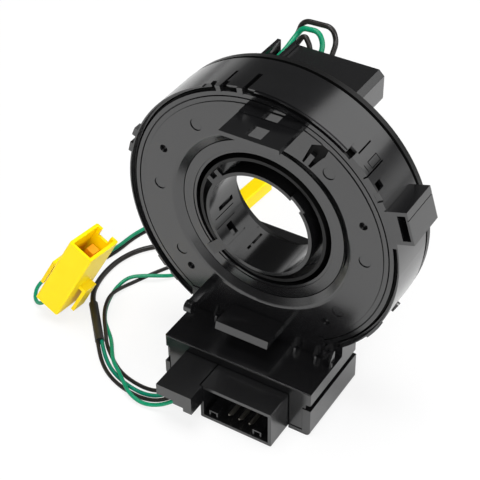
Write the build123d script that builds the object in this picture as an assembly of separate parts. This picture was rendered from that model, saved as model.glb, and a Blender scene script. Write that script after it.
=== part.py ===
from build123d import *
import math
import os

# Steering clock spring. Sizes in millimetres. The ring's axis is Y and the origin is on it, in
# the plane of the stator's front rim. The rotor and the steering wheel are on the +Y side, the
# connector block hangs below on -Z and stands on the table at z = -TABLE_DROP.

# Ring
RING_R = 52.5
WALL_T = 1.3
WALL_DEPTH = 19.6
RIM_T = 0.5
RIM_DEEP = 1.8
LIP_GAP = 0.1
FACE_T = 1.8
FACE_Y = 0.4
FACE_GAP = 1.0
FACE_HOLE_R = 26.5
LEDGE_W = 1.1
LEDGE_DROP = 0.3
GROOVE_IN = 1.4
GROOVE_W = 0.5
GROOVE_DEEP = 0.5
BAND_W = 3.6
BAND_DROP = 0.35
CONE_R = 34.6
CONE_FLOOR_R = 31.6
CONE_DEEP = 2.0
CONE_BLEND_R = 2.5
FOOT_W = 0.35
FOOT_DEEP = 0.5
RELIEF_R = 29.6
RELIEF_SHIFT = 5.9
RELIEF_ANGLE = 46
RELIEF_IN_R = 32.0
RELIEF_DEEP = 3.0

# Moulded marks on the face
PAD_R = 2.3
PAD_ORBIT = 40.0
PAD_DEEP = 0.35
PAD_ANGLES = (127, 50, 177, 1, -143, -39)
PIN_HOLE_R = 1.5
PIN_HOLE_ORBIT = 41.5
PIN_HOLE_DEEP = 1.3
PIN_HOLE_ANGLES = (155, 21, -50, -133)

# Snap tabs, notches and lugs of the wall, as angles from +X towards +Z and depths behind the rim
LIP_ARCS = ((12, 52.8), (96.4, 98.7), (104.4, 107.8))
WALL_BAND_ARC = (53, 91.5)
WALL_BAND_RISE = 0.35
WALL_BAND = (0.6, 5.0)
TAB_DEEP = 10.4
NOTCH_DEEP = 3.3
FOOT_SLOT_DEEP = 0.9
LEFT_NOTCH = (108.0, 110.8, 113.4)
LEFT_TAB_SLOT = (103.4, 104.7, 105.8)
LEFT_TAB_FOOT = 98.7
RIGHT_TAB_SLOT = (91.6, 94.6, 96.4)
CATCH_NOTCH = (50.0, 52.8)
CATCH_SLIT = (49.0, 49.6)
CATCH_WINDOW = (42.2, 45.2)
CATCH_WINDOW_DEPTHS = (4.0, 9.9)
LOW_SLIT = (41.3, 41.9)
LOW_NOTCH = (31.2, 35.0, 38.0)
LINE_W = 0.3
LINE_DEEP = 0.45
LUG_DEEP = 3.2
LUGS = ((155.6, 159.2, 1.4), (163.0, 167.3, 1.2), (-143.5, -138.5, 0.55), (-135.3, -130.9, 0.4), (-36, -28, 0.5))

# Slotted bracket on the right of the wall, in a frame turned to its own angle
BRACKET_ANGLE = 17.5
BRACKET_REACH = 6.5
BRACKET_LOW = -2.8
BRACKET_HIGH = 9.3
BRACKET_FRONT = -0.4
BRACKET_BACK = 16.4
BRACKET_WALL_T = 1.4
BRACKET_OUTER_T = 0.9
BRACKET_SLOT_W = 2.9
BRACKET_LINE_V = 6.2

# Fixing tongue above the bore, shelf below it, and the locating arm
TONGUE_TOP = 46.0
TONGUE_T = 1.6
TONGUE_LEFT = -5.0
TONGUE_W = 21.8
TONGUE_REACH = 16.0
WINDOW_W = 5.8
WINDOW_LEFT = 8.2
FRONT_WINDOW = (2.2, 7.8)
BACK_WINDOW = (12.2, 15.8)
SHELF_TOP = -40.4
SHELF_T = 2.7
SHELF_LEFT = -10.9
SHELF_W = 21.3
SHELF_REACH = 11.2
ARM_X = -19.5
ARM_Z = -35.0
ARM_W = 3.0
ARM_REACH = 14.5
ARM_TIP_R = 2.2
LATCH_ANGLE = 60.5
LATCH_OUT = 46.6
LATCH_HEAD_L = 3.0
LATCH_NECK_L = 7.8
LATCH_NECK_W = 3.2
LATCH_HEAD_W = 5.4
LATCH_CHAMFER = 1.3
LATCH_TONGUE_W = 1.75
LATCH_TONGUE_L = 4.9

# Connector block
TABLE_DROP = 69.0
BLOCK_LEFT = -28.2
BLOCK_RIGHT = 31.6
BLOCK_FRONT = -18.1
BLOCK_BACK = 15.0
BLOCK_TOP = -49.4
BLOCK_EDGE_R = 0.45
APRON_TOP = -40.0
SHELL_T = 1.6
SKIRT_TOP = -54.6
SIDE_SET_BACK = 4.5
SIDE_SET_IN = 5.6
COVER_FLOOR_T = 1.6
COVER_WALL_T = 1.9
COVER_TOP = -56.8
COVER_GAP = 0.2
COVER_OUT = 0.3
COVER_EDGE_R = 2.0
CORNER_W = 3.1
CORNER_NOTCH_W = 2.0
CORNER_NOTCH = (-62.0, -57.4)
RIB_T = 0.8
RIB_FOOT = 2.3
RIB_H = 5.2
RIB_REACH = 2.8
RIB_X = (-16.4, 16.4, 24.7, 30.9)

# Main socket and side plug
SOCKET_LEFT = -5.8
SOCKET_W = 28.8
SOCKET_FRONT = -30.0
SOCKET_BACK = -15.5
SOCKET_TOP = -53.0
SOCKET_BOTTOM = -68.4
SOCKET_T = 1.3
SOCKET_EDGE = 0.35
SOCKET_FLOOR_Y = -19.5
KEY_W = 3.5
KEY_H = 2.8
KEY_T = 0.6
KEY_X = (-2.6, 15.2)
PIN_T = 0.6
PIN_H = 2.4
PIN_Z = -64.9
PIN_X = (4.8, 9.0, 13.2)
PIN_REACH = 8.6
PIN_PLAY = 0.08
CARRIER_FRONT = -12.4
HOOD_LEFT = -19.2
HOOD_RIGHT = -4.7
HOOD_FRONT = -37.5
HOOD_T = 1.5
HOOD_CORE_Y = -25.0
HOOD_CORE_BOTTOM = -64.0
HOOD_STEPS = ((-19.2, -57.7), (-12.4, -59.2), (-8.2, -60.8))
SIDE_GAP = 0.25

# Carrier that joins the socket's blades to the flat cable
CARRIER_IN = 1.6
CARRIER_D = 7.4
CARRIER_H = 8.0
CARRIER_FLOOR_T = 3.0
POCKETS = 5
POCKET_WALL_T = 1.6
BRIDGE_W = 6.0
BRIDGE_D = 13.0
BRIDGE_H = 2.4

# Flat cable inside the ring
CABLE_T = 0.45
CABLE_OFF_HUB = 6.8
CABLE_OFF_WALL = 0.5
CABLE_HALF_TURNS = 10
CABLE_END_GAP = 0.5
SLIP_T = 0.3
SLIP_GAP = 0.05
SLIP_OFF_WALL = 0.6

# Rotor
BORE_R = 19.3
SLEEVE_T = 1.3
SLEEVE_FRONT = -0.2
SLEEVE_BACK = 17.5
HUB_R = 24.7
HUB_T = 1.2
HUB_FRONT = 2.3
DISC_FRONT = 20.7
DISC_BACK = 23.3
RIM_STEP = 0.5
FLANGE_IN = 0.2
HUB_GAP = 0.2
WEB_Y = 9.0
WEB_T = 1.4
CATCH_ANGLE = -136
CATCH_R = 26.9
CATCH_W = 4.4
CATCH_BACK = 2.1
EAR_ANGLE = 141
EAR_W = 6.4
EAR_T = 1.3
EAR_HOLE_W = 2.6
JOG_ARC = (36.5, 51.0)
JOG_R = 20.3
JOG_T = 1.2
JOG_DEEP = 4.5

# Cuts in the sleeve: angle, width, from, to, and whether they go through its wall
SLEEVE_CUTS = (
    (-167.3, 1.7, 5.1, 13.8, True),
    (-160.4, 0.35, 1.8, 13.1, False),
    (-151.0, 0.35, 0.6, 11.8, False),
    (-140.5, 4.6, 5.4, 8.6, True),
    (-131.0, 0.35, 0.6, 12.0, False),
    (-121.5, 0.35, 0.6, 17.0, False),
    (-113.7, 0.9, 5.7, 15.3, True),
)

# Rotor connectors on the steering wheel side
TOP_BOX_LEFT = -10.0
TOP_BOX_W = 32.5
TOP_BOX_BOTTOM = 32.4
TOP_BOX_H = 11.7
TOP_BOX_SOLID = 14.0
TOP_BOX_CHAMFER = 2.0
TOP_PINS = 4
TOWER_BACK = 43.8
BOX_T = 1.4
BOX_EDGE_R = 1.6
BOX_FLOOR = 5.0
PIN_STAND = 5.5
SQUARE_PIN = 1.0
CHANNEL_WALL_X = -18.4
CHANNEL_WALL_T = 1.3
CHANNEL_FLOOR_Z = 37.6
LOW_BOX_LEFT = -24.0
LOW_BOX_W = 38.0
LOW_BOX_TOP = -33.0
LOW_BOX_H = 11.7
LOW_BOX_BACK = 38.0
LOW_PINS = 6

# Yellow plugs: the left one leans on the table's edge of its rear, the rear one lies flat
PLUG_W = 11.0
PLUG_D = 18.8
PLUG_L = 32.2
PLUG_T = 1.4
PLUG_DEEP = 17.0
PLUG_EDGE_R = 0.9
LEVER_T = 1.4
LEVER_W = 7.0
LEVER_L = 12.0
LEVER_STAND = 3.2
LEVER_FROM = 2.0
REAR_PLUG_W = 7.0
REAR_PLUG_D = 6.4
REAR_PLUG_L = 28.0
REAR_PLUG_DEEP = 13.0
CAP_STAND = 4.4
CAP_EDGE_R = 1.0
INSERT_GAP = 0.2

# Leads
LEAD_D = 1.5
JACKET_D = 2.2
SHRINK_D = 3.5
LOOP_D = 1.9

chamber_r = RING_R - WALL_T
face_r = chamber_r - FACE_GAP
face_back = FACE_Y + FACE_T
groove_r = face_r - GROOVE_IN
band_r = face_r - BAND_W
cone_floor_y = FACE_Y + CONE_DEEP
floor_z = -TABLE_DROP
disc_r = RING_R - FLANGE_IN
hub_in_r = HUB_R - HUB_T
sleeve_r = BORE_R + SLEEVE_T
cable_front = cone_floor_y + FACE_T + CABLE_END_GAP
cable_back = DISC_FRONT - SLIP_T - SLIP_GAP - CABLE_END_GAP
cable_start_r = HUB_R + CABLE_OFF_HUB
cable_step = (chamber_r - CABLE_OFF_WALL - CABLE_T / 2 - cable_start_r) / CABLE_HALF_TURNS
socket_right = SOCKET_LEFT + SOCKET_W
skirt_in = COVER_WALL_T + COVER_GAP - COVER_OUT
carrier_base = floor_z + COVER_FLOOR_T + COVER_GAP

LEFT_PLUG_AT = Pos(-85.0, -7.9, -64.2) * Rot(0, 0, -2.9) * Rot(0, 26.4, 0) * Rot(-12.9, 0, 0)
REAR_PLUG_AT = Pos(-57.4, 70.0, floor_z + REAR_PLUG_D / 2) * Rot(0, 0, -4) * Rot(-90, 0, 0)


def box(x0, x1, y0, y1, z0, z1):
    """A block between two corners."""
    middle = ((x0 + x1) / 2, (y0 + y1) / 2, (z0 + z1) / 2)
    return Pos(*middle) * Box(abs(x1 - x0), abs(y1 - y0), abs(z1 - z0))


def drum(radius, y0, y1):
    """A disc on the ring's axis between two depths."""
    return Pos(0, (y0 + y1) / 2, 0) * Rot(90, 0, 0) * Cylinder(radius, y1 - y0)


def ring(outer, inner, y0, y1):
    """A flat ring on the ring's axis."""
    return drum(outer, y0, y1) - drum(inner, y0 - 1, y1 + 1)


def turned(solid, angle):
    """Turn a solid drawn at +X to an angle, counted from +X towards +Z."""
    return Rot(0, -angle, 0) * solid


def wedge(angle_from, angle_to, y0, y1, reach=80):
    """A sector of a disc, for arcs of grooves and walls."""
    steps = [angle_from + (angle_to - angle_from) * i / 4 for i in range(5)]
    rim = [(reach * math.cos(math.radians(a)), reach * math.sin(math.radians(a))) for a in steps]
    outline = Plane.XZ.offset(-y0) * Polygon((0, 0), *rim, align=None)
    return extrude(outline, -(y1 - y0))


def arc_block(outer, inner, arc, y0, y1):
    """A stretch of a ring between two angles."""
    return ring(outer, inner, y0, y1) & wedge(arc[0], arc[-1], y0 - 1, y1 + 1)


def write(solid, node):
    """Write one sub-part."""
    os.makedirs("parts", exist_ok=True)
    export_step(solid, f"parts/{node}.step")
    print(node, round(solid.volume, 1))


def face_profile():
    """Half section of the face: hole, ledge, floor, cone, flat, lowered band, groove and rim."""
    ledge_r = FACE_HOLE_R + LEDGE_W
    ledge_y = cone_floor_y + LEDGE_DROP
    foot_r = CONE_FLOOR_R - FOOT_W
    foot_y = cone_floor_y + FOOT_DEEP
    band_y = FACE_Y + BAND_DROP
    groove_y = band_y + GROOVE_DEEP
    back_r = CONE_R + FACE_T
    floor_back = cone_floor_y + FACE_T
    corners = [
        (FACE_HOLE_R, ledge_y), (ledge_r, ledge_y), (ledge_r, cone_floor_y),
        (foot_r, cone_floor_y), (foot_r, foot_y), (CONE_FLOOR_R, foot_y), (CONE_FLOOR_R, cone_floor_y),
        (CONE_R, FACE_Y), (band_r, FACE_Y), (band_r, band_y),
        (groove_r - GROOVE_W, band_y), (groove_r - GROOVE_W, groove_y), (groove_r, groove_y),
        (groove_r, band_y), (face_r, band_y), (face_r, face_back),
        (back_r, face_back), (back_r, floor_back), (FACE_HOLE_R, floor_back),
    ]
    section = make_face(Polyline(*corners, close=True))
    rounded = section.vertices().sort_by_distance((CONE_R, FACE_Y, 0))[0]
    return fillet([rounded], CONE_BLEND_R)


def face_disc():
    """The stator's face with its dished middle, the relief beside it and the moulded marks."""
    disc = revolve(face_profile(), Axis.Y)
    turn = math.radians(RELIEF_ANGLE)
    centre = Pos(RELIEF_SHIFT * math.cos(turn), 0, RELIEF_SHIFT * math.sin(turn))
    relief = centre * drum(RELIEF_R, FACE_Y - 1, FACE_Y + RELIEF_DEEP)
    disc -= relief - drum(RELIEF_IN_R, FACE_Y - 2, FACE_Y + RELIEF_DEEP + 1)
    for angle in PAD_ANGLES:
        pad = Pos(PAD_ORBIT, FACE_Y, 0) * Rot(90, 0, 0) * Cylinder(PAD_R, 2 * PAD_DEEP)
        disc -= turned(pad, angle)
    for angle in PIN_HOLE_ANGLES:
        hole = Pos(PIN_HOLE_ORBIT, FACE_Y, 0) * Rot(90, 0, 0) * Cylinder(PIN_HOLE_R, 2 * PIN_HOLE_DEEP)
        disc -= turned(hole, angle)
    return disc


def latch_window():
    """The keyhole cut-out at the upper right of the face, with its springy tongue left in it."""
    neck = LATCH_NECK_W / 2
    head = LATCH_HEAD_W / 2
    shoulder = LATCH_OUT - LATCH_HEAD_L
    start = shoulder - LATCH_NECK_L
    corners = [
        (start, -neck), (shoulder - LATCH_CHAMFER, -head), (shoulder, -head - 0.4),
        (LATCH_OUT, -head), (LATCH_OUT, head - 2 * LATCH_CHAMFER), (shoulder + 0.4, head), (start, neck + 0.3),
    ]
    outline = Plane.XZ.offset(-FACE_Y + 1) * Polygon(*corners, align=None)
    opening = extrude(outline, -(FACE_T + 2))
    low = 0.3 - LATCH_TONGUE_W / 2
    tongue = box(start - 1, start + LATCH_TONGUE_L, FACE_Y - 2, face_back + 2, low, low + LATCH_TONGUE_W)
    return turned(opening - tongue, LATCH_ANGLE)


def fixing_tongue():
    """The flat tongue above the bore, with its two square windows."""
    x1 = TONGUE_LEFT + TONGUE_W
    front = FACE_Y - TONGUE_REACH
    plate = box(TONGUE_LEFT, x1, front, face_back, TONGUE_TOP - TONGUE_T, TONGUE_TOP)
    plate += box(TONGUE_LEFT, x1, FACE_Y - 4, face_back, TONGUE_TOP - TONGUE_T, TONGUE_TOP + 0.3)
    left = TONGUE_LEFT + WINDOW_LEFT
    for near, far in (FRONT_WINDOW, BACK_WINDOW):
        plate -= box(left, left + WINDOW_W, front + near, front + far, TONGUE_TOP - 3, TONGUE_TOP + 1)
    return plate


def shelf():
    """The shelf below the bore that slides under the column switch."""
    front = FACE_Y - SHELF_REACH
    return box(SHELF_LEFT, SHELF_LEFT + SHELF_W, front, face_back, SHELF_TOP - SHELF_T, SHELF_TOP)


def locating_arm():
    """The arm at the lower left, with a rounded tip."""
    tip_y = FACE_Y - ARM_REACH
    half = ARM_W / 2
    arm = box(ARM_X - half, ARM_X + half, tip_y, face_back, ARM_Z - half, ARM_Z + half)
    knob = Pos(ARM_X, tip_y, ARM_Z) * Rot(0, 90, 0) * Cylinder(ARM_TIP_R, ARM_W)
    return arm + knob


def block_shell():
    """The upper shell of the connector block, open below, with the saddle under the ring."""
    t = SHELL_T
    front_part = box(BLOCK_LEFT, BLOCK_RIGHT, BLOCK_FRONT, face_back, carrier_base, BLOCK_TOP)
    upper_edge = front_part.edges().filter_by(Axis.X).group_by(Axis.Z)[-1].sort_by(Axis.Y)[0]
    corners = front_part.edges().filter_by(Axis.Z).group_by(Axis.Y)[0]
    front_part = fillet([upper_edge, *corners], BLOCK_EDGE_R)
    saddle_top = -math.sqrt(RING_R ** 2 - BLOCK_RIGHT ** 2)
    saddle = box(BLOCK_LEFT, BLOCK_RIGHT, FACE_Y, BLOCK_BACK, carrier_base, saddle_top)
    saddle -= drum(chamber_r + WALL_T, face_back, BLOCK_BACK + 1)
    saddle -= drum(chamber_r - 2, FACE_Y - 1, BLOCK_BACK + 1)
    shell = front_part + saddle
    below = carrier_base - 1
    for side, edge in ((-1, BLOCK_LEFT), (1, BLOCK_RIGHT)):
        inner = edge - side * skirt_in
        shell -= box(inner, edge + side, BLOCK_FRONT - 1, BLOCK_BACK + 1, below, SKIRT_TOP)
    shell -= box(BLOCK_LEFT - 1, BLOCK_RIGHT + 1, BLOCK_BACK - skirt_in, BLOCK_BACK + 1, below, SKIRT_TOP)
    corner_x = BLOCK_RIGHT - CORNER_W
    corner_top = COVER_TOP + COVER_GAP
    shell -= box(corner_x, BLOCK_RIGHT + 1, BLOCK_FRONT - 1, BLOCK_FRONT + skirt_in, below, corner_top)
    y0 = BLOCK_FRONT + t
    y1 = BLOCK_BACK - skirt_in - t
    inside = box(BLOCK_LEFT + skirt_in + t, BLOCK_RIGHT - skirt_in - t, y0, y1, below, BLOCK_TOP - t)
    inside -= drum(chamber_r + WALL_T + t, face_back - 0.6, BLOCK_BACK + 1)
    shell -= inside
    door_left = HOOD_LEFT - SIDE_GAP
    door_right = socket_right + SIDE_GAP
    shell -= box(door_left, door_right, BLOCK_FRONT - 1, y0 + 1, below, SOCKET_TOP + SIDE_GAP)
    set_in = box(BLOCK_RIGHT - SIDE_SET_IN, BLOCK_RIGHT + 1, FACE_Y - 1, SIDE_SET_BACK, BLOCK_TOP, -30)
    return shell - (set_in - drum(face_r, FACE_Y - 2, face_back))


def block_ribs():
    """The gusset ribs between the face and the top of the block."""
    ribs = None
    back = FACE_Y + 0.5
    front = FACE_Y - RIB_REACH
    low = BLOCK_TOP - 0.5
    for x in RIB_X:
        side = [(back, low), (front, low), (front, BLOCK_TOP + RIB_FOOT), (FACE_Y - 0.2, BLOCK_TOP + RIB_H),
                (back, BLOCK_TOP + RIB_H)]
        outline = Plane.YZ.offset(x - RIB_T / 2) * Polygon(*side, align=None)
        rib = extrude(outline, RIB_T)
        ribs = rib if ribs is None else ribs + rib
    return ribs


def apron():
    """The lower part of the face, from the ring down to the block."""
    right = BLOCK_RIGHT - SIDE_SET_IN
    plate = box(BLOCK_LEFT, right, FACE_Y, face_back, BLOCK_TOP - 1, APRON_TOP)
    behind = box(right - 1, BLOCK_RIGHT, FACE_Y + 1, face_back, BLOCK_TOP - 1, APRON_TOP)
    return (plate + (behind & drum(face_r + 0.6, FACE_Y, face_back))) & drum(RING_R, FACE_Y - 1, face_back + 1)


def stator_housing():
    """Face, fixing tongues and connector block, moulded as one piece."""
    body = face_disc() + apron() - latch_window()
    body += fixing_tongue()
    body += shelf()
    body += locating_arm()
    body += block_shell()
    body += block_ribs()
    return body


def wall_cuts():
    """Notches, tab slots and slits that go through the wall."""
    return (
        (LEFT_NOTCH[:2], -1, NOTCH_DEEP),
        (LEFT_NOTCH[1:], -1, NOTCH_DEEP / 2),
        (LEFT_TAB_SLOT, -1, NOTCH_DEEP),
        (LEFT_TAB_SLOT[1:], NOTCH_DEEP - 0.1, TAB_DEEP),
        ((LEFT_TAB_FOOT, LEFT_TAB_SLOT[1]), -1, FOOT_SLOT_DEEP),
        (RIGHT_TAB_SLOT[1:], -1, TAB_DEEP),
        (RIGHT_TAB_SLOT[:2], -1, FOOT_SLOT_DEEP),
        (CATCH_NOTCH, -1, NOTCH_DEEP),
        (CATCH_SLIT, NOTCH_DEEP, TAB_DEEP + 1),
        (LOW_SLIT, -1, TAB_DEEP),
        (LOW_NOTCH[1:], FOOT_SLOT_DEEP, NOTCH_DEEP + 0.9),
        (LOW_NOTCH[:2], -1, FOOT_SLOT_DEEP - 0.2),
    )


def outer_cover():
    """The wall that snaps round the face, cut away at the bottom for the connector block."""
    wall = ring(RING_R, chamber_r, 0, WALL_DEPTH)
    wall -= ring(RING_R - RIM_T, chamber_r - 1, -1, RIM_DEEP)
    for arc in LIP_ARCS:
        wall += arc_block(RING_R, face_r + LIP_GAP, arc, 0, RIM_DEEP + 0.2)
    gap = COVER_GAP
    wall -= box(BLOCK_LEFT - gap, BLOCK_RIGHT + gap, -1, BLOCK_BACK + gap, -RING_R - 5, -30)
    middle = RING_R - WALL_T / 2
    wall += arc_block(RING_R + WALL_BAND_RISE, middle, WALL_BAND_ARC, *WALL_BAND)
    for start, end, rise in LUGS:
        wall += arc_block(RING_R + rise, RING_R - RIM_T / 2, (start, end), 0, LUG_DEEP)
    for arc, near, far in wall_cuts():
        wall -= arc_block(RING_R + 2, face_r, arc, near, far)
    near, far = CATCH_WINDOW_DEPTHS
    turn = math.degrees(LINE_W / RING_R)
    inner = (CATCH_WINDOW[0] + turn, CATCH_WINDOW[1] - turn)
    frame = arc_block(RING_R + 1, RING_R - LINE_DEEP, CATCH_WINDOW, near, far)
    wall -= frame - arc_block(RING_R + 2, RING_R - 2, inner, near + LINE_W, far - LINE_W)
    wall -= arc_block(RING_R + 1, RING_R - LINE_DEEP, CATCH_WINDOW, near / 2 - LINE_W, near / 2)
    return wall + right_bracket()


def right_bracket():
    """The slotted bracket on the right of the wall."""
    out = RING_R + BRACKET_REACH
    body = box(RING_R - 4, out, BRACKET_FRONT, BRACKET_BACK, BRACKET_LOW, BRACKET_HIGH)
    slot_out = out - BRACKET_OUTER_T
    slot_back = BRACKET_BACK - BRACKET_WALL_T
    low = BRACKET_LOW + BRACKET_WALL_T
    high = BRACKET_HIGH - BRACKET_WALL_T
    body -= box(slot_out - BRACKET_SLOT_W, slot_out, BRACKET_FRONT - 1, slot_back, low, high)
    line = BRACKET_LINE_V + LINE_W
    body -= box(out - LINE_DEEP, out + 1, BRACKET_FRONT - 1, BRACKET_BACK + 1, BRACKET_LINE_V, line)
    return turned(body, BRACKET_ANGLE) - drum(RING_R - WALL_T / 2, BRACKET_FRONT - 1, BRACKET_BACK + 1)


def block_cover():
    """The tray that closes the block from below."""
    t = COVER_WALL_T
    x0 = BLOCK_LEFT - COVER_OUT
    x1 = BLOCK_RIGHT + COVER_OUT
    y0 = BLOCK_FRONT - COVER_OUT
    y1 = BLOCK_BACK + COVER_OUT
    base = floor_z + COVER_FLOOR_T
    above = COVER_TOP + 1
    tray = box(x0, x1, y0, y1, floor_z, COVER_TOP)
    bottom = tray.edges().group_by(Axis.Z)[0].filter_by(Axis.Y)
    tray = fillet(bottom, COVER_EDGE_R)
    tray -= box(x0 + t, x1 - t, y0 + t, y1 - t, base, above)
    corner_x = BLOCK_RIGHT - CORNER_W + COVER_GAP
    tray -= box(x0 + t, corner_x, y0 - 1, y0 + t + 1, base, above)
    door_left = SOCKET_LEFT - SIDE_GAP
    door_right = socket_right + SIDE_GAP
    tray -= box(door_left, door_right, y0 - 1, SOCKET_BACK + SIDE_GAP, floor_z - 1, above)
    notch_low, notch_high = CORNER_NOTCH
    tray -= box(x0 - 1, x0 + t + 1, y0 - 1, y0 + CORNER_NOTCH_W, notch_low, above)
    return tray


def main_socket():
    """The main socket at the front of the block."""
    t = SOCKET_T
    shell = box(SOCKET_LEFT, socket_right, SOCKET_FRONT, SOCKET_BACK, SOCKET_BOTTOM, SOCKET_TOP)
    shell = chamfer(shell.edges().filter_by(Axis.Y), SOCKET_EDGE)
    x0 = SOCKET_LEFT + t
    x1 = socket_right - t
    base = SOCKET_BOTTOM + t
    shell -= box(x0, x1, SOCKET_FRONT - 1, SOCKET_FLOOR_Y, base, SOCKET_TOP - t)
    for left in KEY_X:
        right = left + KEY_W
        top = base + KEY_H
        key = box(left, right, SOCKET_FRONT + 0.6, SOCKET_FLOOR_Y, base - 0.2, top)
        hollow = box(left + KEY_T, right - KEY_T, SOCKET_FRONT - 1, SOCKET_FLOOR_Y - 0.5, base, top - KEY_T)
        shell += key - hollow
    half_t = PIN_T / 2 + PIN_PLAY
    half_h = PIN_H / 2 + PIN_PLAY
    for x in PIN_X:
        shell -= box(x - half_t, x + half_t, SOCKET_FLOOR_Y - 1, SOCKET_BACK + 1, PIN_Z - half_h, PIN_Z + half_h)
    return shell


def socket_pins():
    """Upright blades that stand in the main socket, with their lower front corner cut off."""
    pins = []
    low = PIN_Z - PIN_H / 2
    high = PIN_Z + PIN_H / 2
    front = SOCKET_FLOOR_Y - PIN_REACH
    side = [(front, high), (front, high - PIN_H / 4), (front + PIN_H, low), (CARRIER_FRONT, low), (CARRIER_FRONT, high)]
    for x in PIN_X:
        outline = Plane.YZ.offset(x - PIN_T / 2) * Polygon(*side, align=None)
        pins.append(extrude(outline, PIN_T))
    return Compound(children=pins)


def side_plug():
    """The hooded plug at the left of the main socket, where the leads go in."""
    right = SOCKET_LEFT - SIDE_GAP
    back = BLOCK_FRONT + SHELL_T + 1
    lip_back = SOCKET_FRONT - SIDE_GAP
    plug = box(HOOD_LEFT, right, HOOD_FRONT, back, SOCKET_TOP - HOOD_T, SOCKET_TOP)
    plug += box(HOOD_LEFT, HOOD_RIGHT, HOOD_FRONT, lip_back, SOCKET_TOP - HOOD_T, SOCKET_TOP)
    ends = [left for left, bottom in HOOD_STEPS[1:]] + [HOOD_RIGHT]
    for (left, bottom), end in zip(HOOD_STEPS, ends):
        plug += box(left, end, HOOD_FRONT, HOOD_FRONT + HOOD_T, bottom, SOCKET_TOP)
    lowest = HOOD_STEPS[-1][1]
    plug += box(HOOD_RIGHT - HOOD_T, HOOD_RIGHT, HOOD_FRONT, lip_back, lowest, SOCKET_TOP)
    plug += box(right - HOOD_T, right, lip_back - HOOD_T, HOOD_CORE_Y, lowest, SOCKET_TOP)
    plug += box(HOOD_LEFT, right, HOOD_CORE_Y, back, HOOD_CORE_BOTTOM, SOCKET_TOP)
    return plug


def terminal_block():
    """The carrier inside the block that joins the socket's blades to the flat cable."""
    left = SOCKET_LEFT + CARRIER_IN
    right = socket_right - CARRIER_IN
    back = CARRIER_FRONT + CARRIER_D
    carrier = box(left, right, CARRIER_FRONT, back, carrier_base, carrier_base + CARRIER_H)
    pitch = (right - left - POCKET_WALL_T) / POCKETS
    near = CARRIER_FRONT + POCKET_WALL_T
    far = back - POCKET_WALL_T
    for i in range(POCKETS):
        x = left + POCKET_WALL_T + pitch * i
        high = carrier_base + CARRIER_H + 1
        carrier -= box(x, x + pitch - POCKET_WALL_T, near, far, carrier_base + CARRIER_FLOOR_T, high)
    middle = (left + right) / 2
    half = BRIDGE_W / 2
    return carrier + box(middle - half, middle + half, back, back + BRIDGE_D, carrier_base, carrier_base + BRIDGE_H)


def flat_cable():
    """The flat cable, wound as a loose spiral from half turns about two centres."""
    def boundary(side):
        arcs = []
        for k in range(CABLE_HALF_TURNS):
            centre = cable_step * (k % 2)
            r = cable_start_r + cable_step * k + side * CABLE_T / 2
            sign = 1 if k % 2 == 0 else -1
            ends = (centre + sign * r, 0), (centre, sign * r), (centre - sign * r, 0)
            arcs.append(ThreePointArc(*ends))
        return arcs
    inner = boundary(-1)
    outer = boundary(1)
    caps = [Line(inner[0] @ 0, outer[0] @ 0), Line(inner[-1] @ 1, outer[-1] @ 1)]
    strip = make_face(Wire(inner + outer + caps))
    return extrude(Plane.XZ.offset(-cable_front) * strip, -(cable_back - cable_front))


def front_slip_sheet():
    """The film ring between the flat cable and the face."""
    near = face_back + SLIP_GAP
    return ring(chamber_r - SLIP_OFF_WALL, CONE_R + FACE_T + SLIP_OFF_WALL, near, near + SLIP_T)


def rear_slip_sheet():
    """The film ring between the flat cable and the rotor's disc."""
    far = DISC_FRONT - SLIP_GAP
    return ring(chamber_r - SLIP_OFF_WALL, HUB_R + SLIP_OFF_WALL, far - SLIP_T, far)


def rotor_disc():
    """The rotor's disc, with a stepped rim, and the hub that the flat cable winds on."""
    disc = ring(disc_r, hub_in_r, DISC_FRONT, DISC_BACK)
    disc += ring(HUB_R, hub_in_r, HUB_FRONT, DISC_FRONT + 0.5)
    disc -= ring(disc_r + 1, chamber_r - SLIP_OFF_WALL, DISC_FRONT - 1, DISC_FRONT + RIM_STEP)
    return disc


def hub_sleeve():
    """The sleeve that lines the bore, on a web in the hub, with a catch over the stator's ledge."""
    sleeve = ring(sleeve_r, BORE_R, SLEEVE_FRONT, SLEEVE_BACK)
    sleeve += ring(hub_in_r - HUB_GAP, sleeve_r - SLEEVE_T / 2, WEB_Y, WEB_Y + WEB_T)
    start, end = JOG_ARC
    margin = 2
    sleeve += arc_block(JOG_R + JOG_T, sleeve_r - 0.4, (start - margin, end + margin), SLEEVE_FRONT, JOG_DEEP + JOG_T)
    sleeve -= arc_block(JOG_R, BORE_R - 1, JOG_ARC, SLEEVE_FRONT - 1, JOG_DEEP)
    for angle, width, near, far, through in SLEEVE_CUTS:
        deep = sleeve_r + 0.1 if through else BORE_R + LINE_DEEP
        sleeve -= turned(box(BORE_R - 2, deep, near, far, -width / 2, width / 2), angle)
    root = sleeve_r - 0.4
    front = SLEEVE_FRONT + 0.1
    catch = box(root, CATCH_R, front, CATCH_BACK, -CATCH_W / 2, CATCH_W / 2)
    catch += box(root, hub_in_r - HUB_GAP, front, WEB_Y + 0.4, -CATCH_W / 4, CATCH_W / 4)
    sleeve += turned(catch, CATCH_ANGLE)
    ear = box(root, hub_in_r - HUB_GAP, front, front + EAR_T, -EAR_W / 2, EAR_W / 2)
    middle = (sleeve_r + hub_in_r) / 2
    half = EAR_HOLE_W / 2
    ear -= box(middle - half / 2, middle + half, front - 1, front + EAR_T + 1, -half, half)
    return sleeve + turned(ear, EAR_ANGLE)


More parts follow.
